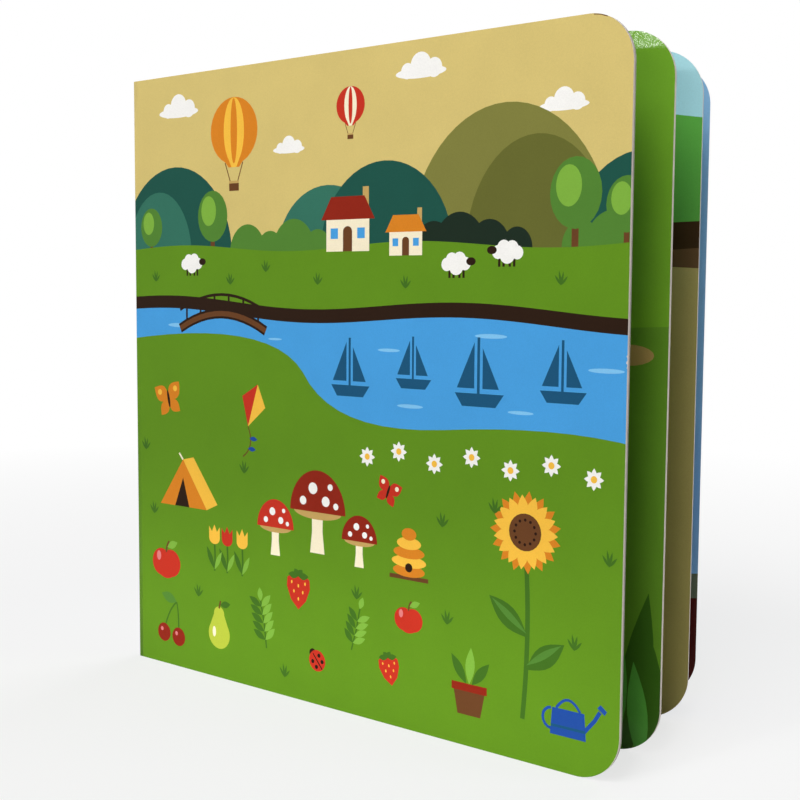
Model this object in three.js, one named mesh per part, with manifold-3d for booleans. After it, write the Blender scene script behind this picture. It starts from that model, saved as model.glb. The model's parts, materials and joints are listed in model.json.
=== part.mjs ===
// A children's board book that stands on its lower edges, opened a little like a fan: a front and a back cover that
// hinge on a narrow spine, and two stiff leaves that are joined in the gutter. Seen from above, the spine is at the
// left, the fore edges are at the right (+X) and the front cover is on the -Y side.
import * as THREE from "three";
import { mergeVertices } from "three/addons/utils/BufferGeometryUtils.js";
import Module from "manifold-3d";

// Driving dimensions, in millimetres
const boardHeight = 200;
const boardWidth = 190; // from the crease at the spine to the fore edge
const coverThickness = 1.2;
const leafThickness = 1.2;
const cornerRadius = 13; // the two corners at the fore edge
const edgeRound = 0.15; // the cutting die leaves every edge of a board a little round
const boardClearance = 0.3; // between closed boards, for the printed sheets that are pasted on them
const spineThickness = 0.6;
const spineEdgeRound = 0.25; // the spine's two long outer edges
const creaseGap = 0.3; // from each long edge of the spine to the cover that turns beside it
const gutterDepth = 1.2; // how far the folded sheets that join the leaves reach in from the spine

// How far each board is turned from the middle of the fan, in degrees, seen from above
const frontCoverAngle = -11.75;
const backCoverAngle = 11.75;
const leafAngles = [-4.05, 5.45];

// Steps in round outlines and edges
const cornerSteps = 14;
const edgeSteps = 3;

// Lengths that follow from the ones above
const leafPitch = leafThickness + boardClearance;
const leavesDepth = leafAngles.length * leafPitch - boardClearance;
const bookDepth = leavesDepth + 2 * (coverThickness + boardClearance);

// A board's outline in its own plane: square corners at the spine, round ones at the fore edge.
function boardOutline() {
  const roundFrom = boardWidth - cornerRadius;
  const outline = new THREE.Shape();
  outline.moveTo(0, 0);
  outline.lineTo(roundFrom, 0);
  outline.absarc(roundFrom, cornerRadius, cornerRadius, -Math.PI / 2, 0);
  outline.absarc(roundFrom, boardHeight - cornerRadius, cornerRadius, 0, Math.PI / 2);
  outline.lineTo(0, boardHeight);
  outline.closePath();
  return outline;
}

// A board that stands up from z = 0 with its spine edge on the Z axis. It lies on the +Y side of the plane y = 0 if
// side is 1, and on the -Y side if it is -1.
function boardGeometry(thickness, side) {
  const board = new THREE.ExtrudeGeometry(boardOutline(), {
    depth: thickness - 2 * edgeRound,
    bevelThickness: edgeRound,
    bevelSize: edgeRound,
    bevelOffset: -edgeRound,
    bevelSegments: edgeSteps,
    curveSegments: cornerSteps,
  });
  board.translate(0, 0, edgeRound - thickness / 2);
  board.rotateX(Math.PI / 2);
  board.translate(0, (side * thickness) / 2, 0);
  return board;
}

// Turns a board about the vertical line at y = pivotY where its outward face meets the spine.
function turnedBoard(thickness, side, pivotY, degrees) {
  const board = new THREE.Mesh(boardGeometry(thickness, side));
  board.position.y = pivotY;
  board.rotation.z = THREE.MathUtils.degToRad(degrees);
  return board;
}

const wasm = await Module();
wasm.setup();

// A mesh's faces, where the mesh stands, as a solid that can be joined with others.
function solidOf(mesh) {
  mesh.updateMatrixWorld(true);
  const placed = mesh.geometry.clone().applyMatrix4(mesh.matrixWorld);
  placed.deleteAttribute("normal");
  placed.deleteAttribute("uv");
  const merged = mergeVertices(placed);
  return new wasm.Manifold(
    new wasm.Mesh({
      numProp: 3,
      vertProperties: merged.attributes.position.array,
      triVerts: new Uint32Array(merged.index.array),
    }),
  );
}

function geometryOf(solid) {
  const { vertProperties, triVerts } = solid.getMesh();
  const geometry = new THREE.BufferGeometry();
  geometry.setAttribute("position", new THREE.BufferAttribute(vertProperties, 3));
  geometry.setIndex(new THREE.BufferAttribute(triVerts, 1));
  geometry.computeVertexNormals();
  return geometry;
}

// Laminated card: printed colour under a glossy film.
function laminatedCard(color) {
  return new THREE.MeshStandardMaterial({ color, roughness: 0.3, metalness: 0 });
}

function makeFrontCover() {
  const cover = turnedBoard(coverThickness, 1, -bookDepth / 2, frontCoverAngle);
  cover.name = "front_cover";
  cover.material = laminatedCard(0x6a9f35);
  return cover;
}

function makeBackCover() {
  const cover = turnedBoard(coverThickness, -1, bookDepth / 2, backCoverAngle);
  cover.name = "back_cover";
  cover.material = laminatedCard(0x7ea9d8);
  return cover;
}

// The strip of card between the covers' creases, with its two outer edges rounded.
function makeSpine() {
  const halfWidth = bookDepth / 2 - creaseGap;
  const roundFrom = spineEdgeRound - spineThickness;
  const section = new THREE.Shape();
  section.moveTo(0, -halfWidth);
  section.lineTo(0, halfWidth);
  section.lineTo(roundFrom, halfWidth);
  section.absarc(roundFrom, halfWidth - spineEdgeRound, spineEdgeRound, Math.PI / 2, Math.PI);
  section.absarc(roundFrom, spineEdgeRound - halfWidth, spineEdgeRound, Math.PI, 1.5 * Math.PI);
  section.closePath();
  const geometry = new THREE.ExtrudeGeometry(section, {
    depth: boardHeight,
    bevelEnabled: false,
    curveSegments: edgeSteps,
  });
  const spine = new THREE.Mesh(geometry, laminatedCard(0xd5be84));
  spine.name = "spine";
  return spine;
}

// The folded sheets that hold the leaves together along the spine.
function makeGutterFold() {
  const fold = new THREE.Mesh(new THREE.BoxGeometry(gutterDepth, leavesDepth, boardHeight));
  fold.position.set(gutterDepth / 2, 0, boardHeight / 2);
  return fold;
}

// The leaf of that index, counted from the front. It turns about the edge of its face on the outside of the fan, so
// that no leaf's root reaches into the spine.
function makeLeaf(angle, index) {
  const frontFace = index * leafPitch - leavesDepth / 2;
  return angle < 0
    ? turnedBoard(leafThickness, 1, frontFace, angle)
    : turnedBoard(leafThickness, -1, frontFace + leafThickness, angle);
}

function makePageBlock() {
  const leaves = leafAngles.map(makeLeaf);
  const solid = leaves.reduce((joined, leaf) => joined.add(solidOf(leaf)), solidOf(makeGutterFold()));
  const pages = new THREE.Mesh(geometryOf(solid), laminatedCard(0x5f9426));
  pages.name = "page_block";
  return pages;
}

const book = new THREE.Group();
book.add(makeSpine(), makePageBlock(), makeFrontCover(), makeBackCover());

// The origin is the middle of the footprint, on the surface that the book stands on.
const footprint = new THREE.Box3().setFromObject(book).getCenter(new THREE.Vector3());
book.position.set(-footprint.x, -footprint.y, 0);

export default book;
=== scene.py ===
import json
import math

import bmesh
import bpy
from mathutils import Matrix, Vector
from mathutils.geometry import delaunay_2d_cdt


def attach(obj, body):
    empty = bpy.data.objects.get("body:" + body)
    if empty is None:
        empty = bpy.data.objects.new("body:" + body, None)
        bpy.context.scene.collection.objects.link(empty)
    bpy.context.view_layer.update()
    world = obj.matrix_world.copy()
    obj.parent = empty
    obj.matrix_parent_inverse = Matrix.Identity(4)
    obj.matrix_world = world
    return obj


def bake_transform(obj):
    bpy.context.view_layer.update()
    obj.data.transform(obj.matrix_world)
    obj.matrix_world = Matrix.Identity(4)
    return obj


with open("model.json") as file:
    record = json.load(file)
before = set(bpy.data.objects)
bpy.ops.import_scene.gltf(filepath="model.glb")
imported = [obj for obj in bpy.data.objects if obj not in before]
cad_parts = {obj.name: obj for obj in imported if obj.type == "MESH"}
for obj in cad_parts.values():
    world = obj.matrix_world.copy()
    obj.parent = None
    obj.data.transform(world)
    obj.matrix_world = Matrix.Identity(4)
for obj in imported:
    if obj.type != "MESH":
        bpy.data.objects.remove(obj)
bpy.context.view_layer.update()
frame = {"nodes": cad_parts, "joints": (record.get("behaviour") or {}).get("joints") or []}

# Sizes, in millimetres, as in the CAD model
MM = 0.001
BOARD_WIDTH = 190
BOARD_HEIGHT = 200
CORNER = 13
CARD = 1.2
CLEARANCE = 0.3
SPINE_THICKNESS = 0.6
LEAVES_DEPTH = 2 * CARD + CLEARANCE
BOOK_DEPTH = LEAVES_DEPTH + 2 * (CARD + CLEARANCE)
FRONT_ANGLE, LEAF_ANGLES, BACK_ANGLE = -11.75, (-4.05, 5.45), 11.75

# The printed sheets, in millimetres
LIFT = 0.015  # from the card to a sheet's back, so that the two faces don't touch
PAPER = 0.06
TRIM = 0.02  # from the board's outline to the sheet's
SPINE_BEND = 0.6  # radius of the wrapper's bend between the spine and a cover
CREASE_FROM, CREASE_BY = 0.4, 1.2  # how far before and past its cover's start a wrapper's crease reaches, where the sheet has extra rows of points
GUTTER_BEND = 0.17  # radius of the fold beside a cover
MIDDLE_BEND = 0.26  # radius of the fold between the leaves
BEND_STEPS = 8
CORNER_STEPS = 16

SPINE_X = frame["joints"][0]["pos_m"][0]


def srgb(red, green, blue):
    """A colour from 0 to 255 as linear light."""
    def linear(value):
        value /= 255
        return value / 12.92 if value <= 0.04045 else ((value + 0.055) / 1.055) ** 2.4
    return linear(red), linear(green), linear(blue), 1


INKS = {
    "sand": (206, 185, 114),
    "cloud": (238, 236, 232),
    "teal": (28, 79, 68),
    "sea_green": (50, 108, 90),
    "olive": (122, 121, 59),
    "moss": (98, 100, 44),
    "bush": (27, 42, 31),
    "leaf": (79, 126, 48),
    "lime": (122, 170, 62),
    "meadow": (93, 137, 28),
    "lawn": (103, 150, 44),
    "grass": (62, 104, 30),
    "soil": (42, 25, 14),
    "bark": (101, 62, 34),
    "water": (70, 153, 215),
    "foam": (126, 190, 232),
    "deep": (26, 80, 115),
    "brick": (138, 36, 20),
    "poppy": (190, 48, 32),
    "orange": (210, 126, 34),
    "amber": (238, 184, 66),
    "straw": (190, 156, 92),
    "cream": (240, 228, 198),
    "navy": (32, 72, 150),
    "pear": (178, 190, 62),
    "rose": (214, 120, 120),
    "sky": (172, 220, 228),
    "clay": (102, 75, 46),
    "umber": (62, 42, 19),
    "tan": (177, 162, 98),
    "day": (142, 188, 224),
    "slate": (112, 118, 88),
    "wine": (88, 22, 12),
    "pasture": (118, 170, 44),
    "ridge": (94, 168, 68),
}
BLANK_PAPER = (232, 228, 218)
CUT_CARD = (226, 214, 206)


# Shapes. A drawing is a list of (ink, outline) in millimetres, and what comes later lies on top.

def ellipse(ink, x, y, wide, high, steps=24):
    turns = (math.tau * i / steps for i in range(steps))
    return ink, [(x + wide * math.cos(t), y + high * math.sin(t)) for t in turns]


def disc(ink, x, y, radius, steps=24):
    return ellipse(ink, x, y, radius, radius, steps)


def block(ink, left, bottom, right, top):
    return ink, [(left, bottom), (right, bottom), (right, top), (left, top)]


def dome(ink, x, y, wide, high, steps=20):
    """The upper half of an ellipse."""
    turns = (math.pi * i / steps for i in range(steps + 1))
    return ink, [(x + wide * math.cos(t), y + high * math.sin(t)) for t in turns]


def bowl(ink, x, y, wide, deep, steps=16):
    """The lower half of an ellipse."""
    return ink, [(px, 2 * y - py) for px, py in reversed(dome(ink, x, y, wide, deep, steps)[1])]


def blade(ink, x0, y0, x1, y1, wide, steps=8):
    """A leaf shape between two points, wide across its middle."""
    across = Vector((y0 - y1, x1 - x0)).normalized()
    along = Vector((x1 - x0, y1 - y0))

    def side(sign, order):
        for i in order:
            t = i / steps
            p = Vector((x0, y0)) + along * t + across * (sign * wide / 2 * math.sin(math.pi * t))
            yield p.x, p.y

    return ink, [*side(1, range(steps)), *side(-1, range(steps, 0, -1))]


def line(ink, points, wide):
    """A line of even width through the points."""
    points = [Vector(p) for p in points]
    left, right = [], []
    for i, p in enumerate(points):
        along = (points[min(i + 1, len(points) - 1)] - points[max(i - 1, 0)]).normalized()
        across = Vector((-along.y, along.x)) * wide / 2
        left.append((p + across)[:])
        right.append((p - across)[:])
    return ink, left + right[::-1]


def curve(start, middle, end, steps=8):
    """Points on a smooth curve that leaves start towards middle and comes into end from it."""
    start, middle, end = Vector(start), Vector(middle), Vector(end)
    ts = (i / steps for i in range(steps + 1))
    return [(start * (1 - t) ** 2 + middle * 2 * t * (1 - t) + end * t * t)[:] for t in ts]


def wavy(left, right, height, swell, length, phase=0, step=4):
    """Points of a waved line from left to right."""
    count = max(2, round((right - left) / step))
    xs = [left + (right - left) * i / count for i in range(count + 1)]
    return [(x, height(x) + swell * math.sin(math.tau * x / length + phase)) for x in xs]


def field(ink, upper, lower):
    """The area between two lines that both run from left to right."""
    return ink, list(upper) + list(reversed(lower))


def at(drawing, x, y, size=1, turn=0, flip=False):
    """A motif that is mirrored where flip is true, turned by degrees, sized and moved to (x, y)."""
    cos = math.cos(math.radians(turn)) * size
    sin = math.sin(math.radians(turn)) * size
    side = -1 if flip else 1
    return [
        (ink, [(x + side * px * cos - py * sin, y + side * px * sin + py * cos) for px, py in outline])
        for ink, outline in drawing
    ]


# Motifs, each about its foot or its middle, in millimetres

def cloud():
    return [
        disc("cloud", -5, 1.6, 2.4),
        disc("cloud", 0, 3, 3.8),
        disc("cloud", 5, 1.8, 2.9),
        ellipse("cloud", 0, 0.8, 9.5, 1.7),
    ]


def balloon(skin, stripe):
    """A hot-air balloon, about its basket."""
    ropes = [line("bark", [(side * 1.7, 3), (side * 4, 9)], 0.4) for side in (-1, 1)]
    envelope = [
        (skin, [(-9.4, 15), (-2.4, 7.5), (2.4, 7.5), (9.4, 15)]),
        disc(skin, 0, 19, 10.6, 32),
    ]
    stripes = [
        (stripe, [(-3.4, 12), (-1.1, 7.5), (1.1, 7.5), (3.4, 12)]),
        ellipse(stripe, 0, 19, 4.6, 10.5, 28),
        ellipse(skin, 0, 19, 1.5, 10.4, 20),
    ]
    basket = [block("bark", -2.2, 0, 2.2, 3.2), block("straw", -2.2, 2.4, 2.2, 3.2)]
    return ropes + envelope + stripes + basket


def cottage(roof="brick"):
    walls = [block("straw", 5.6, 12.5, 7.8, 18), block("cream", -8, 0, 8, 9.5)]
    top = [(roof, [(-10, 9), (10, 9), (6.2, 15.5), (-6.2, 15.5)])]
    door = [block("bark", -1.7, 0, 1.7, 5.6), dome("bark", 0, 5.6, 1.7, 1.5)]
    windows = [block("water", x - 1.4, 3.6, x + 1.4, 6.6) for x in (-5, 5)]
    return walls + top + door + windows


def round_tree():
    return [
        block("bark", -0.8, 0, 0.8, 7),
        ellipse("leaf", 0, 11.5, 6, 7.2),
        ellipse("lime", -1.6, 13, 3, 4.2),
    ]


def thicket(ink, *parts):
    """Round bushes side by side, each (x, radius)."""
    return [dome(ink, x, 0, radius, radius * 1.15) for x, radius in parts]


def sheep():
    wool = [(-3.4, 4, 2), (-1.6, 5.3, 2.2), (1.2, 5.4, 2.3), (3.2, 4.2, 2), (0, 3.4, 2.6)]
    legs = [block("soil", x - 0.4, 0, x + 0.4, 2.6) for x in (-2.4, -0.9, 1.2, 2.7)]
    head = ellipse("soil", 5.3, 4.8, 1.7, 1.2, 16)
    return [*legs, *(disc("cloud", x, y, r, 16) for x, y, r in wool), head]


def footbridge():
    deck = curve((-21, 1), (0, 12), (21, 1), 12)
    rail = [(x, y + 6.5) for x, y in deck]
    posts = [line("soil", [deck[i], rail[i]], 0.9) for i in range(1, 12, 2)]
    return [line("soil", rail, 1), *posts, line("soil", deck, 3.4), line("bark", deck, 1.8)]


def sailboat(sail="deep"):
    return [
        ("deep", [(-7, 0), (7.4, 0), (5, -3.2), (-4.8, -3.2)]),
        block("deep", -0.4, 0, 0.4, 13.6),
        (sail, [(-1.2, 1.2), (-1.2, 12.4), (-6.4, 1.2)]),
        (sail, [(1.2, 1.2), (1.2, 11), (6, 1.2)]),
    ]


def daisy(petals=8):
    turns = [math.tau * i / petals for i in range(petals)]
    ring = [blade("cloud", 0, 0, 2.6 * math.cos(t), 2.6 * math.sin(t), 1.3, 5) for t in turns]
    return [*ring, disc("amber", 0, 0, 0.85, 12)]


def toadstool(cap="brick"):
    stem = ("cream", [(-2.6, 0), (2.6, 0), (1.9, 6), (2, 12), (-2, 12), (-1.9, 6)])
    spots = [(-5.2, 14, 1.2), (-1.6, 17.6, 1.6), (3, 14.4, 1.4), (6.6, 13.4, 0.9), (4.6, 18.4, 0.9)]
    return [
        stem,
        bowl("straw", 0, 11.4, 8.6, 2.2),
        dome(cap, 0, 11.2, 10, 11.4, 24),
        *(disc("cloud", x, y, r, 16) for x, y, r in spots),
    ]


def tent():
    return [
        ("orange", [(-11, 0), (9, 0), (-1, 14)]),
        ("amber", [(9, 0), (13.5, 2), (3.5, 15), (-1, 14)]),
        ("soil", [(-4.6, 0), (1.6, 0), (-1, 8.6)]),
        line("cream", [(-1, 14), (-2.6, 15.8)], 0.6),
    ]


def sunflower():
    """A tall flower, about its foot."""
    stem = curve((0, 0), (2.5, 26), (0, 50), 10)
    petals = []
    for ink, reach, offset in (("orange", 11.5, 0.5), ("amber", 10.4, 0)):
        for i in range(15):
            t = math.tau * (i + offset) / 15
            root = 3 * math.cos(t), 52 + 3 * math.sin(t)
            tip = reach * math.cos(t), 52 + reach * math.sin(t)
            petals.append(blade(ink, *root, *tip, 3.4, 6))
    turns = (math.tau * i / 12 for i in range(12))
    seeds = [disc("soil", 3.4 * math.cos(t), 52 + 3.4 * math.sin(t), 0.45, 8) for t in turns]
    return [
        line("grass", stem, 1.5),
        blade("grass", 1, 14, 13, 23, 6),
        blade("leaf", 1, 15.2, 12, 22.6, 2),
        blade("grass", 1.2, 23, -11.5, 33, 6),
        blade("leaf", 1, 24, -10.6, 32.4, 2),
        *petals,
        disc("bark", 0, 52, 5.2),
        *seeds,
    ]


def watering_can():
    turns = (math.pi * (i / 8 - 0.5) for i in range(9))
    grip = [(8.6 + 4.2 * math.cos(t), 7 + 4.6 * math.sin(t)) for t in turns]
    return [
        line("navy", grip, 1.3),
        line("navy", [(-8, 4), (-13, 10), (-15.6, 14.4)], 1.8),
        ("navy", [(-17.8, 13.4), (-14.2, 16), (-15.8, 17.6), (-19, 15.2)]),
        ("navy", [(-9, 0), (9, 0), (8, 12), (-8, 12)]),
        block("deep", -8.7, 3.4, 8.7, 4.6),
        line("navy", curve((-6, 12), (0, 21), (6, 12), 8), 1.2),
    ]


def flowerpot():
    return [
        ("bark", [(-4.4, 0), (4.4, 0), (6, 8), (-6, 8)]),
        block("brick", -6.8, 7.6, 6.8, 10.2),
        blade("grass", -1, 10, -7, 19, 3.4),
        blade("lime", 0, 10, 0.6, 22, 3.6),
        blade("grass", 1, 10, 7.6, 18, 3.4),
    ]


def butterfly(wing="orange", spot="amber"):
    wings = []
    for side in (-1, 1):
        wings += [
            blade(wing, 0, 0, side * 7.4, 6.2, 6.6),
            blade(wing, 0, 0, side * 5.6, -5.4, 5),
            disc(spot, side * 4.6, 3.9, 1.2, 12),
        ]
    return [*wings, ellipse("soil", 0, 0.4, 0.7, 3.6, 14)]


def apple():
    return [
        disc("poppy", -2.5, 5.8, 5),
        disc("poppy", 2.5, 5.8, 5),
        bowl("poppy", 0, 5, 5.6, 5),
        ellipse("rose", -4, 8, 1.1, 1.8, 14),
        line("bark", curve((0, 9.6), (0.2, 12.4), (1.6, 13.8), 5), 0.8),
        blade("lime", 0.6, 11.6, 6, 13.8, 2.8),
    ]


def pear():
    return [
        disc("pear", 0, 5.4, 5.6),
        ("pear", [(-5.2, 7.2), (5.2, 7.2), (2.4, 13.4), (-2.4, 13.4)]),
        disc("pear", 0, 13, 2.7),
        ellipse("cream", -2.6, 6, 0.9, 2, 14),
        line("bark", [(0, 15), (0.8, 18)], 0.8),
        blade("grass", 0.6, 16.4, 6, 17.4, 2.6),
    ]


def cherries():
    stalk = (3.4, 16)
    return [
        line("grass", curve((-3.6, 4), (-1.6, 12), stalk, 7), 0.7),
        line("grass", curve((4.2, 3), (5, 10), stalk, 7), 0.7),
        blade("leaf", 3.4, 16, -5, 18.4, 4),
        disc("brick", -3.8, 3.2, 3.6),
        disc("brick", 4.4, 2.6, 3.6),
        disc("rose", -5, 4.4, 0.8, 10),
        disc("rose", 3.2, 3.8, 0.8, 10),
    ]


def tulip(flower="poppy"):
    return [
        line("grass", [(0, 0), (0.3, 6), (0, 12)], 0.9),
        blade("grass", 0, 0.5, -4.4, 9.4, 2.4),
        blade("lime", 0, 0.5, 4, 8, 2.2),
        (flower, [(-3, 17.6), (-1.4, 15.6), (0, 18.4), (1.4, 15.6), (3, 17.6), (3, 13), (-3, 13)]),
        bowl(flower, 0, 13.2, 3, 2.6),
    ]


def strawberry():
    seeds = [(-2, 6), (2, 6), (0, 3.6), (-3, 9), (3, 9), (0, 8)]
    sepals = [(-4.6, 13), (-1.8, 15), (1.8, 15), (4.6, 13)]
    right = [(3.4, 3.2), (5.2, 7.4), (5, 10.4), (2.6, 12)]
    berry = [(0, 0), *right, *((-x, y) for x, y in reversed(right))]
    return [
        ("poppy", berry),
        *(ellipse("amber", x, y, 0.35, 0.6, 8) for x, y in seeds),
        *(blade("grass", 0, 11.2, x, y - 1.4, 2.4, 5) for x, y in sepals),
    ]


def sprig(leaves=5):
    """A twig with pairs of leaves."""
    drawing = [line("grass", [(0, 0), (0.4, 9), (0, 18)], 0.7)]
    for i in range(leaves):
        y = 3 + 3 * i
        for side in (-1, 1):
            drawing.append(blade("grass" if side < 0 else "lime", 0, y, side * 5.4, y + 4, 2.6, 6))
    return [*drawing, blade("lime", 0, 17, 0.4, 22, 2.6, 6)]


def ladybird():
    spots = [(-2, 1), (2, 1), (-1.8, -1.6), (1.8, -1.6)]
    return [
        disc("soil", 0, 3.4, 1.7, 14),
        disc("poppy", 0, 0, 4),
        block("soil", -0.25, -3.8, 0.25, 3.2),
        *(disc("soil", x, y, 0.8, 10) for x, y in spots),
    ]


def beehive():
    coils = [
        ellipse("orange", 0, 2, 7.4, 2.3),
        ellipse("amber", 0, 5.4, 8, 2.3),
        ellipse("orange", 0, 8.8, 7.2, 2.3),
        ellipse("amber", 0, 12.2, 5.6, 2.3),
        ellipse("orange", 0, 15.6, 3.4, 2.3),
    ]
    return [block("bark", -9, -1.4, 9, 0.2), *coils, disc("soil", 0, 3.2, 1.7, 14)]


def kite():
    return [
        line("bark", curve((0, -8), (6, -14), (1, -20), 8), 0.5),
        ("poppy", [(0, -8), (0, 9), (-6.4, 2)]),
        ("amber", [(0, -8), (6.4, 2), (0, 9)]),
        blade("navy", 2.2, -12, 6.2, -11, 1.8, 5),
        blade("navy", 2.6, -16, 6.6, -15, 1.8, 5),
    ]


def grass_tuft():
    return [blade("grass", 0, 0, x, y, 0.9, 4) for x, y in ((-2.4, 3.4), (-0.8, 5), (1, 4.6), (2.6, 3))]


def ripple():
    return [ellipse("foam", 0, 0, 6, 0.7, 16)]


# Pictures, drawn on a page's own rectangle with x from the spine and y from the lower edge

LEFT, RIGHT, BOTTOM = -6, BOARD_WIDTH + 4, -4  # a little past the page


def below(ink, upper):
    """The field from an upper line down past the lower edge."""
    return field(ink, upper, [(LEFT, BOTTOM), (RIGHT, BOTTOM)])


def slope(y0, y1):
    """The height of a straight line that starts at y0 at the spine and ends at y1 at the fore edge."""
    return lambda x: y0 + (y1 - y0) * x / BOARD_WIDTH


def front_cover_picture():
    art = []
    for x, y, size in ((22, 187, 1), (72, 172, 0.7), (123, 190, 0.95), (170, 177, 0.8)):
        art += at(cloud(), x, y, size)
    art += at(balloon("orange", "amber"), 48, 161, 1)
    art += at(balloon("poppy", "cream"), 97, 174, 0.52)
    art += [
        dome("olive", 152, 140, 33, 40, 30),
        dome("moss", 162, 140, 23, 31, 26),
        dome("teal", 20, 140, 27, 30, 26),
        dome("sea_green", 12, 140, 16, 22, 22),
        dome("sea_green", 88, 140, 21, 21, 24),
        dome("teal", 110, 140, 25, 27, 26),
        dome("teal", 194, 140, 22, 25, 24),
    ]
    art += at(thicket("leaf", (0, 8), (10, 6), (20, 9), (30, 6)), 54, 141)
    art += at(thicket("bush", (0, 7), (9, 9), (19, 7), (28, 5)), 128, 141)
    art += at(thicket("leaf", (0, 6), (9, 8)), 176, 141)
    for x, size in ((8, 0.9), (38, 1.15), (174, 1.3), (189, 1)):
        art += at(round_tree(), x, 140, size)
    art.append(below("meadow", wavy(LEFT, RIGHT, slope(143, 142), 1.2, 96)))
    art += at(cottage(), 96, 141, 1.05)
    art += at(cottage("orange"), 118, 139.5, 0.75)
    for x, y, flip in ((136, 133, False), (153, 136, True), (28, 134, False)):
        art += at(sheep(), x, y, 0.95, flip=flip)
    for x, y in ((62, 135), (84, 131), (118, 130), (170, 131), (10, 132), (46, 131)):
        art += at(grass_tuft(), x, y, 0.8)
    bank = slope(126, 124)
    art.append(below("soil", wavy(LEFT, RIGHT, bank, 1.6, 120, 0.6)))
    art.append(below("water", wavy(LEFT, RIGHT, lambda x: bank(x) - 4.2, 1.6, 120, 0.6)))
    shore = curve((LEFT, 112), (64, 121), (78, 104), 12) + curve((78, 104), (90, 86), (132, 90), 10)[1:]
    art.append(below("meadow", shore + curve((132, 90), (170, 94), (RIGHT, 90), 8)[1:]))
    for x, y, size in ((22, 117.5, 1), (148, 117, 0.9), (112, 112, 0.7), (184, 109, 0.9), (120, 96, 0.8),
                       (66, 114, 0.5), (158, 96.5, 0.7)):
        art += at(ripple(), x, y, size)
    for x, y, size in ((97, 101, 1.05), (121, 104, 0.9), (144, 101, 1.15), (171, 103, 1)):
        art += at(sailboat(), x, y, size)
    art += at(footbridge(), 42, 115.5, 0.95)
    for x, y in ((104, 80), (116, 82.5), (129, 80), (142, 83), (155, 80.5), (168, 83), (181, 80.5)):
        art += at(daisy(), x, y, 1.15)
    art += lower_meadow()
    scuff = [(178.4, 199.7), (180.4, 199.4), (182.4, 198.7)]
    return [*art, line("bark", scuff, 0.24)]


def lower_meadow():
    art = at(sunflower(), 160, 12, 1)
    art += at(watering_can(), 174.5, 10, 0.62, flip=True)
    art += at(flowerpot(), 142, 9, 0.9)
    for x, y, size, cap in ((84, 48, 1.15, "brick"), (66, 45, 0.8, "poppy"), (101, 46, 0.7, "brick")):
        art += at(toadstool(cap), x, y, size)
    art += at(tent(), 24, 56, 1.15)
    art += at(beehive(), 120, 46, 0.8)
    art += at(kite(), 56, 92, 0.85, turn=-18)
    art += at(butterfly(), 16, 92, 0.85, turn=12)
    art += at(butterfly("poppy", "cream"), 112, 70, 0.6, turn=-20)
    for x, flower in ((44, "poppy"), (51, "amber"), (38, "amber")):
        art += at(tulip(flower), x, 36, 0.85)
    art += at(apple(), 14, 30, 0.95)
    art += at(cherries(), 16, 8, 0.9)
    art += at(pear(), 40, 10, 0.9)
    art += at(sprig(), 62, 14, 0.9, turn=10)
    art += at(strawberry(), 76, 29, 0.95)
    art += at(ladybird(), 84, 14, 0.85, turn=40)
    art += at(sprig(4), 98, 20, 0.8, turn=-14)
    art += at(strawberry(), 114, 12, 0.75, turn=12)
    art += at(apple(), 120, 29, 0.7)
    left_tufts = (30, 26), (8, 52), (52, 70), (70, 6), (4, 74)
    right_tufts = (100, 36), (134, 34), (132, 62), (186, 58), (150, 68), (176, 34)
    for x, y in left_tufts + right_tufts:
        art += at(grass_tuft(), x, y, 0.9)
    return art


def back_cover_picture():
    art = [below("pasture", wavy(LEFT, RIGHT, slope(58, 66), 3, 150))]
    art += [
        dome("leaf", 40, 60, 30, 16, 24),
        dome("ridge", 92, 60, 36, 20, 24),
        dome("leaf", 160, 64, 30, 15, 24),
    ]
    art.append(below("meadow", wavy(LEFT, RIGHT, slope(60, 64), 2.4, 130, 1)))
    for x, y, size in ((34, 168, 1.2), (96, 182, 0.9), (150, 158, 1.3), (70, 130, 0.8), (176, 120, 0.7)):
        art += at(cloud(), x, y, size)
    art += at(balloon("orange", "cream"), 112, 110, 1.5)
    art += at(balloon("poppy", "amber"), 44, 100, 0.9)
    for x, size in ((24, 1.3), (66, 1), (150, 1.4), (178, 1.1)):
        art += at(round_tree(), x, 58, size)
    upper_row = (40, 34), (60, 40), (84, 30), (108, 38), (132, 32), (158, 40)
    lower_row = (20, 18), (98, 14), (144, 16)
    for x, y in upper_row + lower_row:
        art += at(daisy(), x, y, 1.3)
    return art


def inside_front_picture():
    art = [below("meadow", wavy(LEFT, RIGHT, slope(112, 126), 4, 150))]
    art += at(cloud(), 50, 172, 1.2) + at(cloud(), 130, 182, 1) + at(kite(), 96, 160, 1.3, turn=15)
    for x, y, size in ((32, 66, 1.6), (70, 50, 1.2), (112, 70, 1.5), (156, 54, 1.3)):
        art += at(tulip(), x, y, size)
    for x, y in ((24, 26), (58, 20), (92, 30), (128, 22), (164, 30)):
        art += at(grass_tuft(), x, y, 1.4)
    return art


def first_page_picture():
    art = [
        dome("ridge", 60, 128, 46, 20, 24),
        below("lawn", wavy(LEFT, RIGHT, slope(128, 118), 3, 170)),
    ]
    art += at(cottage(), 70, 92, 2.2) + at(round_tree(), 26, 98, 2) + at(round_tree(), 118, 96, 1.7)
    art += at(toadstool(), 60, 30, 1.5) + at(toadstool("poppy"), 96, 24, 1.1)
    art.append(ellipse("straw", 178, 112, 8, 3, 20))
    for x, lean, high in ((150, -6, 34), (160, 4, 44), (170, -4, 52), (180, 6, 46), (189, -5, 40)):
        art.append(blade("grass", x, BOTTOM, x + lean, high, 9))
    for x, lean, high in ((155, 5, 26), (175, 4, 30), (185, -3, 26)):
        art.append(blade("ridge", x, BOTTOM, x + lean, high, 6))
    return art


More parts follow.
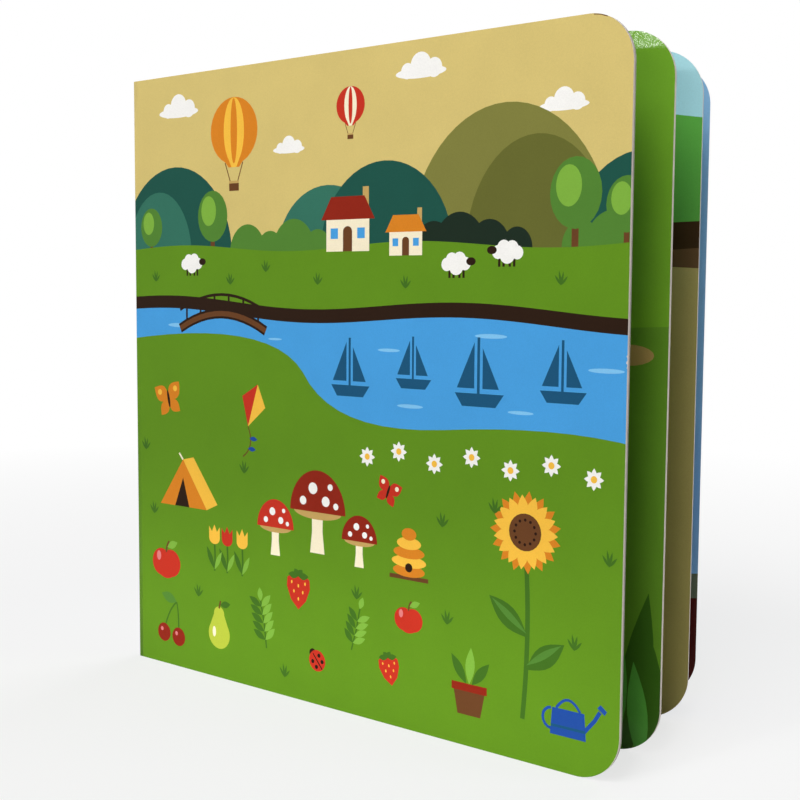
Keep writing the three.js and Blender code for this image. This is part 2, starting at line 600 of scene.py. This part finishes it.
def second_page_picture():
    art = [below("meadow", wavy(LEFT, RIGHT, slope(120, 132), 3, 140))]
    art += at(cloud(), 40, 170, 1.3) + at(cloud(), 140, 176, 1)
    art += at(apple(), 50, 66, 2.2) + at(pear(), 110, 60, 2.1) + at(cherries(), 150, 70, 1.6)
    return art


def third_page_picture():
    art = [
        below("ridge", wavy(LEFT, RIGHT, slope(194, 181), 1.6, 120)),
        below("umber", wavy(LEFT, RIGHT, slope(154, 150), 1, 110, 2)),
        below("clay", wavy(LEFT, RIGHT, slope(145, 142), 1.2, 100, 1)),
        below("tan", wavy(LEFT, RIGHT, slope(138, 137), 1, 120)),
    ]
    art += at(cottage(), 60, 154, 1.3) + at(round_tree(), 110, 153, 1.4)
    for x, y, size in ((36, 96, 1.6), (84, 84, 1.9), (130, 98, 1.5), (60, 40, 1.7), (112, 36, 1.5)):
        art += at(strawberry(), x, y, size)
    return art


def fourth_page_picture():
    art = [below("water", wavy(LEFT, RIGHT, slope(86, 90), 2, 60))]
    for x, y, size in ((50, 92, 2.4), (124, 90, 3)):
        art += at(sailboat("cream"), x, y, size)
    art += at(cloud(), 60, 168, 1.3) + at(cloud(), 136, 178, 1)
    for x, y in ((30, 60), (90, 48), (150, 62), (60, 24), (128, 20)):
        art += at(ripple(), x, y, 1.8)
    return art


def inside_back_picture():
    art = [
        below("slate", wavy(LEFT, RIGHT, slope(42, 40), 1.2, 90)),
        below("wine", wavy(LEFT, RIGHT, slope(35, 33.5), 1, 110, 1)),
    ]
    art += at(cloud(), 44, 160, 1.3) + at(cloud(), 118, 176, 1.1)
    art += at(balloon("orange", "cream"), 84, 96, 1.5)
    for x in (30, 62, 96, 128):
        art += at(round_tree(), x, 34, 1.3)
    return art


# Materials. Their textures lie in the object's own metres, so a noise scale counts the spots in one metre.

def shader_nodes(name):
    material = bpy.data.materials.new(name)
    material.use_nodes = True
    nodes = material.node_tree.nodes
    return material, nodes, material.node_tree.links, nodes["Principled BSDF"]


def noise(nodes, links, coordinates, scale, detail=3, roughness=0.55):
    texture = nodes.new("ShaderNodeTexNoise")
    texture.inputs["Scale"].default_value = scale
    texture.inputs["Detail"].default_value = detail
    texture.inputs["Roughness"].default_value = roughness
    links.new(coordinates, texture.inputs["Vector"])
    return texture.outputs["Fac"]


def ranged(nodes, links, value, low, high, from_low=0.3, from_high=0.7):
    """A noise value mapped to a range."""
    node = nodes.new("ShaderNodeMapRange")
    node.inputs["From Min"].default_value = from_low
    node.inputs["From Max"].default_value = from_high
    node.inputs["To Min"].default_value = low
    node.inputs["To Max"].default_value = high
    links.new(value, node.inputs["Value"])
    return node.outputs["Result"]


def times(nodes, links, first, second):
    node = nodes.new("ShaderNodeMath")
    node.operation = "MULTIPLY"
    links.new(first, node.inputs[0])
    links.new(second, node.inputs[1])
    return node.outputs["Value"]


def shaded(nodes, links, colour, amount):
    """A colour made lighter or darker by a value near one."""
    node = nodes.new("ShaderNodeVectorMath")
    node.operation = "SCALE"
    node.inputs["Vector"].default_value = colour[:3]
    links.new(amount, node.inputs["Scale"])
    return node.outputs["Vector"]


def bump(nodes, links, height, distance, strength=1.0):
    node = nodes.new("ShaderNodeBump")
    node.inputs["Distance"].default_value = distance
    node.inputs["Strength"].default_value = strength
    links.new(height, node.inputs["Height"])
    return node.outputs["Normal"]


def ink_material(name, colour):
    """Ink with print grain and mottling, under a glossy film with an orange peel of its own."""
    material, nodes, links, shader = shader_nodes("ink_" + name)
    place = nodes.new("ShaderNodeTexCoord").outputs["Object"]
    grain = ranged(nodes, links, noise(nodes, links, place, 2600, 2), 0.965, 1.035)
    mottle = ranged(nodes, links, noise(nodes, links, place, 60, 3), 0.975, 1.025)
    links.new(shaded(nodes, links, colour, times(nodes, links, grain, mottle)), shader.inputs["Base Color"])
    gloss = ranged(nodes, links, noise(nodes, links, place, 140, 4), 0.14, 0.24)
    links.new(gloss, shader.inputs["Roughness"])
    links.new(bump(nodes, links, noise(nodes, links, place, 45, 2), 0.0002, 0.4), shader.inputs["Normal"])
    links.new(bump(nodes, links, noise(nodes, links, place, 1000, 0), 0.00005), shader.inputs["Coat Normal"])
    shader.inputs["Coat Weight"].default_value = 0.07
    shader.inputs["Coat Roughness"].default_value = 0.1
    shader.inputs["Specular IOR Level"].default_value = 0.02
    return material


def paper_material():
    """The blank back and the cut edge of a printed sheet."""
    material, nodes, links, shader = shader_nodes("sheet_paper")
    place = nodes.new("ShaderNodeTexCoord").outputs["Object"]
    fibres = noise(nodes, links, place, 1500, 4)
    amount = ranged(nodes, links, fibres, 0.94, 1.04)
    links.new(shaded(nodes, links, srgb(*BLANK_PAPER), amount), shader.inputs["Base Color"])
    links.new(bump(nodes, links, fibres, 0.00002), shader.inputs["Normal"])
    shader.inputs["Roughness"].default_value = 0.8
    shader.inputs["Specular IOR Level"].default_value = 0.2
    return material


def cut_card_material(name, face=None):
    """The die-cut edge of a board: pale layers with fibres, with painted shade where a face is given,
    darkening the edge from its middle to the side away from that face.
    """
    material, nodes, links, shader = shader_nodes(name)
    place = nodes.new("ShaderNodeTexCoord").outputs["Object"]
    stretch = nodes.new("ShaderNodeMapping")
    stretch.inputs["Scale"].default_value = (1, 1, 0.12)
    links.new(place, stretch.inputs["Vector"])
    layers = noise(nodes, links, stretch.outputs["Vector"], 3200, 4, 0.7)
    patches = ranged(nodes, links, noise(nodes, links, place, 260, 3), 0.9, 1.06)
    amount = times(nodes, links, ranged(nodes, links, layers, 0.9, 1.06), patches)
    if face:
        # Painted shade: the edge darkens from its middle to the side away from the face, towards the shadowed
        # gap behind it.
        painted_edge_shade = ranged(nodes, links, depth_in_card(nodes, links, place, face), 1, 0.3, 0.5, 0.8)
        amount = times(nodes, links, amount, painted_edge_shade)
    links.new(shaded(nodes, links, srgb(*CUT_CARD), amount), shader.inputs["Base Color"])
    links.new(bump(nodes, links, layers, 0.00006), shader.inputs["Normal"])
    links.new(ranged(nodes, links, layers, 0.75, 0.95), shader.inputs["Roughness"])
    shader.inputs["Specular IOR Level"].default_value = 0.2
    return material


def depth_in_card(nodes, links, place, face):
    """How deep a place lies behind a board's face, from 0 there to 1 on the board's other side."""
    inward = Vector((-face.out.x, -face.out.y, 0)) / (CARD * MM)
    start = Vector((face.start.x * MM + SPINE_X, face.start.y * MM, 0))
    offset = nodes.new("ShaderNodeVectorMath")
    offset.operation = "SUBTRACT"
    links.new(place, offset.inputs[0])
    offset.inputs[1].default_value = start
    depth = nodes.new("ShaderNodeVectorMath")
    depth.operation = "DOT_PRODUCT"
    links.new(offset.outputs["Vector"], depth.inputs[0])
    depth.inputs[1].default_value = inward
    return depth.outputs["Value"]


ink_materials = {}


def ink(name):
    if name not in ink_materials:
        ink_materials[name] = ink_material(name, srgb(*INKS[name]))
    return ink_materials[name]


# The faces that sheets lie on, seen from above, in millimetres from the spine's inner face

class Face:
    """A board's flat side: where it starts at the spine, which way it runs and which way it looks."""

    def __init__(self, pivot_y, angle, side, depth=0):
        turn = math.radians(angle)
        self.along = Vector((math.cos(turn), math.sin(turn)))
        self.out = Vector((-math.sin(turn), math.cos(turn))) * side
        self.start = Vector((0, pivot_y)) + self.out * depth

    def point(self, distance):
        return self.start + self.along * distance

    def distance(self, point):
        return (point - self.start).dot(self.along)


FRONT_OUT = Face(-BOOK_DEPTH / 2, FRONT_ANGLE, -1)
FRONT_IN = Face(-BOOK_DEPTH / 2, FRONT_ANGLE, 1, CARD)
LEAF_1_FRONT = Face(-LEAVES_DEPTH / 2, LEAF_ANGLES[0], -1)
LEAF_1_BACK = Face(-LEAVES_DEPTH / 2, LEAF_ANGLES[0], 1, CARD)
LEAF_2_FRONT = Face(LEAVES_DEPTH / 2, LEAF_ANGLES[1], -1, CARD)
LEAF_2_BACK = Face(LEAVES_DEPTH / 2, LEAF_ANGLES[1], 1)
BACK_IN = Face(BOOK_DEPTH / 2, BACK_ANGLE, -1, CARD)
BACK_OUT = Face(BOOK_DEPTH / 2, BACK_ANGLE, 1)


def tangent_centre(face, other_start, other_out, radius):
    """The centre of the circle that touches a face and another line on the sides they look to."""
    from_face = face.out.dot(face.start) + radius
    from_other = other_out.dot(other_start) + radius
    return Matrix((face.out, other_out)).inverted() @ Vector((from_face, from_other))


def arc(centre, radius, first, last, outward):
    """(point, way it looks) at even steps round a centre, from one direction to another the short way."""
    start = math.atan2(first.y, first.x)
    sweep = math.remainder(math.atan2(last.y, last.x) - start, math.tau)
    for i in range(BEND_STEPS + 1):
        turn = start + sweep * i / BEND_STEPS
        spoke = Vector((math.cos(turn), math.sin(turn)))
        yield centre + spoke * radius, spoke if outward else -spoke


def measured(stations, face):
    """Stations with their distance along the sheet, which is zero where the face starts."""
    end, _ = stations[-1]
    distance = face.distance(end)
    rows = [(distance, *stations[-1])]
    for (point, out), (after, _) in zip(stations[-2::-1], stations[:0:-1]):
        distance -= (after - point).length
        rows.append((distance, point, out))
    return rows[::-1]


def fore_end(face):
    return face.point(BOARD_WIDTH - TRIM), face.out


def wrapper_route(face):
    """From the middle of the spine, round its edge and along a cover's outer face."""
    spine_start, spine_out = Vector((-SPINE_THICKNESS, 0)), Vector((-1, 0))
    centre = tangent_centre(face, spine_start, spine_out, -SPINE_BEND)
    bend = list(arc(centre, SPINE_BEND, spine_out, face.out, True))
    crease = [(face.point(CREASE_BY * share), face.out) for share in (0.25, 0.6, 1.05)]
    return measured([(spine_start, spine_out), *bend, *crease, fore_end(face)], face)


def gutter(face, facing, radius):
    """The centre and the stations of the fold from the facing board's side to a face."""
    centre = tangent_centre(face, facing.start, facing.out, radius)
    middle = (face.along + facing.along).normalized()
    half = [*arc(centre, radius, -facing.out, -middle, False)][:-1]
    return centre, half + [*arc(centre, radius, -middle, -face.out, False)]


def page_route(face, facing, radius, with_fold):
    """Along a page's face, and where with_fold is true through the gutter to the page that faces it."""
    centre, fold = gutter(face, facing, radius)
    return measured([*(fold if with_fold else fold[-1:]), fore_end(face)], face)


# Sheets

# Where a sheet's picture, its back and its cut edge lie in its UV map
MAP_MARGIN = 0.01
SHOWN_ROWS, BACK_ROWS, RIM_ROWS = (0.05, 0.99), (0.025, 0.045), (0.006, 0.018)


def sheet_outline(first, nicks=()):
    """A sheet's flat outline from its distance first at the spine side, with small nicks at its fore edge."""
    right, top, radius = BOARD_WIDTH - TRIM, BOARD_HEIGHT - TRIM, CORNER - TRIM

    def corner(y, start):
        for i in range(CORNER_STEPS + 1):
            turn = start + math.pi / 2 * i / CORNER_STEPS
            yield right - radius + radius * math.cos(turn), y + radius * math.sin(turn)

    edge = []
    for height, deep, wide in nicks:
        edge += [
            (right, height - wide),
            (right - deep, height - wide * 0.3),
            (right - deep * 0.7, height + wide * 0.5),
            (right, height + wide),
        ]
    lower, upper = corner(TRIM + radius, -math.pi / 2), corner(top - radius, 0)
    return [(first, TRIM), *lower, *edge, *upper, (first, top)]


def twice_area(outline):
    """Positive if the outline runs counterclockwise."""
    return sum(x0 * y1 - x1 * y0 for (x0, y0), (x1, y1) in zip(outline, outline[1:] + outline[:1]))


def flat_mesh(outline, ground, picture, folds):
    """The picture's areas as triangles: points, corners of each triangle and the ink of each."""
    shapes = [(ground, outline), *picture]
    points, faces = [], []
    for _, shape in shapes:
        corners = list(range(len(points), len(points) + len(shape)))
        faces.append(corners if twice_area(shape) > 0 else corners[::-1])
        points += [Vector(p) for p in shape]
    edges = []
    for fold in folds:
        edges.append((len(points), len(points) + 1))
        points += [Vector((fold, TRIM)), Vector((fold, BOARD_HEIGHT - TRIM))]
    points, _, triangles, _, _, sources = delaunay_2d_cdt(points, edges, faces, 1, 1e-5)
    kept = [(corners, shapes[max(source)][0]) for corners, source in zip(triangles, sources) if 0 in source]
    return points, kept


def place_on(route, distance, height, lift):
    """A flat point carried onto the route, in metres in the row frame."""
    for (s0, p0, n0), (s1, p1, n1) in zip(route, route[1:]):
        if distance <= s1 or s1 == route[-1][0]:
            t = (distance - s0) / (s1 - s0)
            point = p0.lerp(p1, t) + n0.lerp(n1, t).normalized() * lift
            return Vector((point.x * MM + SPINE_X, point.y * MM, height * MM))


def outer_edges(triangles):
    """The edges that have a triangle on one side only, in the order of that triangle's corners."""
    alone = {}
    for corners in triangles:
        for i, j in zip(corners, corners[1:] + corners[:1]):
            alone[i, j] = (j, i) not in alone
            if (j, i) in alone:
                alone[j, i] = False
    return [edge for edge, is_alone in alone.items() if is_alone]


def along_map(share):
    return MAP_MARGIN + (1 - 2 * MAP_MARGIN) * share


def lay_out(face, uv, spots):
    for loop, spot in zip(face.loops, spots):
        loop[uv].uv = spot


def close_rim(bm, uv, shown, hidden, edges, paper_index):
    """The cut edge between a sheet's two sides."""
    low, high = RIM_ROWS
    for count, (i, j) in enumerate(edges):
        face = bm.faces.new([shown[j], shown[i], hidden[i], hidden[j]])
        face.material_index = paper_index
        left, right = along_map(count / len(edges)), along_map((count + 0.8) / len(edges))
        lay_out(face, uv, [(right, high), (left, high), (left, low), (right, low)])


def sheet_mesh(name, route, points, areas, used):
    """Both sides of a sheet and its rim. The areas are drawn on the side that the route looks to."""
    first, last = route[0][0], route[-1][0]
    straight_from = route[-2][0] + 1e-4
    bm = bmesh.new()
    uv = bm.loops.layers.uv.new("OFBake")
    shown = [bm.verts.new(place_on(route, p.x, p.y, LIFT + PAPER)) for p in points]
    hidden = [bm.verts.new(place_on(route, p.x, p.y, LIFT)) for p in points]

    def spot(i, rows):
        low, high = rows
        share = (points[i].x - first) / (last - first)
        return along_map(share), low + (high - low) * points[i].y / BOARD_HEIGHT

    for corners, colour in areas:
        front = bm.faces.new([shown[i] for i in corners])
        front.material_index = used.index(colour)
        front.smooth = max(points[i].x for i in corners) < straight_from
        lay_out(front, uv, [spot(i, SHOWN_ROWS) for i in corners])
        back = bm.faces.new([hidden[i] for i in reversed(corners)])
        back.material_index = len(used)
        lay_out(back, uv, [spot(i, BACK_ROWS) for i in reversed(corners)])
    close_rim(bm, uv, shown, hidden, outer_edges([corners for corners, _ in areas]), len(used))
    bmesh.ops.delete(bm, geom=[v for v in bm.verts if not v.link_faces], context="VERTS")
    mesh = bpy.data.meshes.new(name)
    bm.to_mesh(mesh)
    bm.free()
    return mesh


def make_sheet(name, route, ground, picture, nicks=()):
    """A closed thin sheet along a route, with its picture on the side that the route looks to."""
    outline = sheet_outline(route[0][0], nicks)
    points, areas = flat_mesh(outline, ground, picture, [distance for distance, _, _ in route[1:-1]])
    (_, before, _), (_, end, out) = route[-2:]
    if (end - before).cross(out) > 0:
        areas = [(corners[::-1], colour) for corners, colour in areas]
    used = sorted({colour for _, colour in areas})
    mesh = sheet_mesh(name, route, points, areas, used)
    for colour in used:
        mesh.materials.append(ink(colour))
    mesh.materials.append(paper)
    sheet = bpy.data.objects.new(name, mesh)
    bpy.context.scene.collection.objects.link(sheet)
    return sheet


def bend_with_cover(sheet):
    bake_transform(sheet)


def make_wrapper(name, face, ground, picture, nicks=()):
    """The outer sheet of a cover with its half of the spine, curved round the spine's edge."""
    sheet = make_sheet(name, wrapper_route(face), ground, picture, nicks)
    bend_with_cover(sheet)


def make_cover_lining(name, face, leaf, ground, picture):
    """The sheet inside a cover. It runs through the gutter to the leaf beside it, curved round the fold
    there.
    """
    sheet = make_sheet(name, page_route(face, leaf, GUTTER_BEND, True), ground, picture)
    centre, _ = gutter(face, leaf, GUTTER_BEND)
    bend_with_cover(sheet)


def make_page(name, face, facing, radius, with_fold, ground, picture):
    """The sheet on one side of a leaf."""
    sheet = make_sheet(name, page_route(face, facing, radius, with_fold), ground, picture)
    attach(sheet, "bound_spine")


def dress_book():
    nicks = (111.4, 0.34, 0.5), (113, 0.22, 0.4), (110.1, 0.16, 0.3)  # each (height, depth, half width)
    picture = front_cover_picture()
    make_wrapper("front_wrapper", FRONT_OUT, "sand", picture, nicks)
    make_wrapper("back_wrapper", BACK_OUT, "day", back_cover_picture())
    make_cover_lining("front_lining", FRONT_IN, LEAF_1_FRONT, "day", inside_front_picture())
    make_cover_lining("back_lining", BACK_IN, LEAF_2_BACK, "day", inside_back_picture())
    make_page("page_1", LEAF_1_FRONT, FRONT_IN, GUTTER_BEND, False, "pasture", first_page_picture())
    make_page("page_2", LEAF_1_BACK, LEAF_2_FRONT, MIDDLE_BEND, False, "sky", second_page_picture())
    make_page("page_3", LEAF_2_FRONT, LEAF_1_BACK, MIDDLE_BEND, True, "sky", third_page_picture())
    make_page("page_4", LEAF_2_BACK, BACK_IN, GUTTER_BEND, False, "sky", fourth_page_picture())


# Room, light and camera

FLOOR_RADIUS = 4.0
FLOOR_COLOUR = (0.86, 0.86, 0.86, 1)
PLAIN_FROM, PLAIN_BY = 0.2, 0.7  # metres from the book over which the floor turns into plain background
PLAIN_LEAST = 0.72  # how much of that background shows close to the book


def seen_directly(nodes, links):
    """One where the camera, a mirror or clear glass shows the surface, and zero where it only lights."""
    path = nodes.new("ShaderNodeLightPath")
    total = path.outputs["Is Camera Ray"]
    for name in ("Is Glossy Ray", "Is Transmission Ray"):
        node = nodes.new("ShaderNodeMath")
        node.operation = "MAXIMUM"
        links.new(total, node.inputs[0])
        links.new(path.outputs[name], node.inputs[1])
        total = node.outputs["Value"]
    return total


def make_floor():
    mesh = bpy.data.meshes.new("floor")
    bm = bmesh.new()
    bmesh.ops.create_circle(bm, cap_ends=True, segments=96, radius=FLOOR_RADIUS)
    bm.to_mesh(mesh)
    bm.free()
    floor = bpy.data.objects.new("floor", mesh)
    bpy.context.scene.collection.objects.link(floor)
    material, nodes, links, shader = shader_nodes("pale_floor")
    shader.inputs["Base Color"].default_value = FLOOR_COLOUR
    shader.inputs["Roughness"].default_value = 0.9
    shader.inputs["Specular IOR Level"].default_value = 0
    place = nodes.new("ShaderNodeTexCoord").outputs["Object"]
    away = nodes.new("ShaderNodeVectorMath")
    away.operation = "LENGTH"
    links.new(place, away.inputs[0])
    far = ranged(nodes, links, away.outputs["Value"], PLAIN_LEAST, 1, PLAIN_FROM, PLAIN_BY)
    plain = nodes.new("ShaderNodeEmission")
    plain.inputs["Strength"].default_value = 1
    mix = nodes.new("ShaderNodeMixShader")
    links.new(times(nodes, links, far, seen_directly(nodes, links)), mix.inputs["Fac"])
    links.new(shader.outputs["BSDF"], mix.inputs[1])
    links.new(plain.outputs["Emission"], mix.inputs[2])
    links.new(mix.outputs["Shader"], nodes["Material Output"].inputs["Surface"])
    mesh.materials.append(material)


def make_world(strength):
    """Soft light from all around, and a white backdrop where the camera sees past the floor."""
    world = bpy.data.worlds.new("studio")
    bpy.context.scene.world = world
    world.use_nodes = True
    nodes, links = world.node_tree.nodes, world.node_tree.links
    soft = nodes["Background"]
    soft.inputs["Color"].default_value = (0.98, 0.99, 1, 1)
    soft.inputs["Strength"].default_value = strength
    backdrop = nodes.new("ShaderNodeBackground")
    backdrop.inputs["Color"].default_value = (1, 1, 1, 1)
    mix = nodes.new("ShaderNodeMixShader")
    links.new(seen_directly(nodes, links), mix.inputs["Fac"])
    links.new(soft.outputs["Background"], mix.inputs[1])
    links.new(backdrop.outputs["Background"], mix.inputs[2])
    links.new(mix.outputs["Shader"], nodes["World Output"].inputs["Surface"])


def make_lamp(name, place, target, wide, high, power, spread=180, mirrored=True):
    """An area lamp that looks at its target. The film doesn't mirror it where mirrored is false."""
    light = bpy.data.lights.new(name, "AREA")
    light.shape = "RECTANGLE"
    light.size, light.size_y = wide, high
    light.energy = power
    light.spread = math.radians(spread)
    lamp = bpy.data.objects.new(name, light)
    bpy.context.scene.collection.objects.link(lamp)
    lamp.visible_camera = False
    lamp.visible_glossy = mirrored
    lamp.location = place
    lamp.rotation_euler = (Vector(target) - Vector(place)).to_track_quat("-Z", "Y").to_euler()


def make_camera():
    """The photograph's camera, found from the outlines of the four boards."""
    lens, place = 56.95, Vector((0.1837, -0.3551, 0.1287))
    ahead = Vector((-0.4474, 0.8944, 0)).normalized()
    pitch, roll = math.radians(4.83), math.radians(-0.37)
    right = Vector((ahead.y, -ahead.x, 0))
    forward = ahead * math.cos(pitch) - Vector((0, 0, math.sin(pitch)))
    up = ahead * math.sin(pitch) + Vector((0, 0, math.cos(pitch)))
    side = right * math.cos(roll) - up * math.sin(roll)
    above = right * math.sin(roll) + up * math.cos(roll)
    data = bpy.data.cameras.new("camera")
    data.lens, data.sensor_width = lens, 36
    data.clip_start, data.clip_end = 0.01, 100
    camera = bpy.data.objects.new("camera", data)
    bpy.context.scene.collection.objects.link(camera)
    camera.matrix_world = Matrix.Translation(place) @ Matrix((side, above, -forward)).transposed().to_4x4()
    bpy.context.scene.camera = camera


def light_studio():
    """The key and front lamps light the cover, and the glint shows in the film on the first leaf's top."""
    middle = (0, 0, 0.1)
    leaf_top = (0.088, -0.014, 0.196)
    foot = (-0.006, -0.02, 0.012)
    make_world(0.065)
    make_lamp("key", (-0.067, -0.772, 1.020), middle, wide=0.6, high=0.55, power=8)
    make_lamp("front", (0.094, -1.079, 0.291), middle, wide=0.5, high=0.3, power=2.1)
    make_lamp("glint", (-0.387, -1.09, 0.42), leaf_top, wide=0.055, high=0.045, power=2.3)
    make_lamp("side", (1.15, 0.16, 0.45), middle, wide=0.4, high=0.6, power=2.6)
    make_lamp("low", (-0.05, -0.22, 0.012), foot, wide=0.24, high=0.02, power=0.02, spread=34, mirrored=False)
    make_lamp("back", (0.2, 1.1, 0.8), middle, wide=0.8, high=0.6, power=8)


paper = paper_material()
cut_card = cut_card_material("cut_card")
for name, node in frame["nodes"].items():
    # The front cover's edge gets painted shade on the side away from its outer face.
    card = cut_card_material("cover_card_painted_shade", FRONT_OUT) if name == "front_cover" else cut_card
    node.data.materials.clear()
    node.data.materials.append(card)

dress_book()
make_floor()
light_studio()
make_camera()
bpy.context.scene.view_settings.view_transform = "Standard"
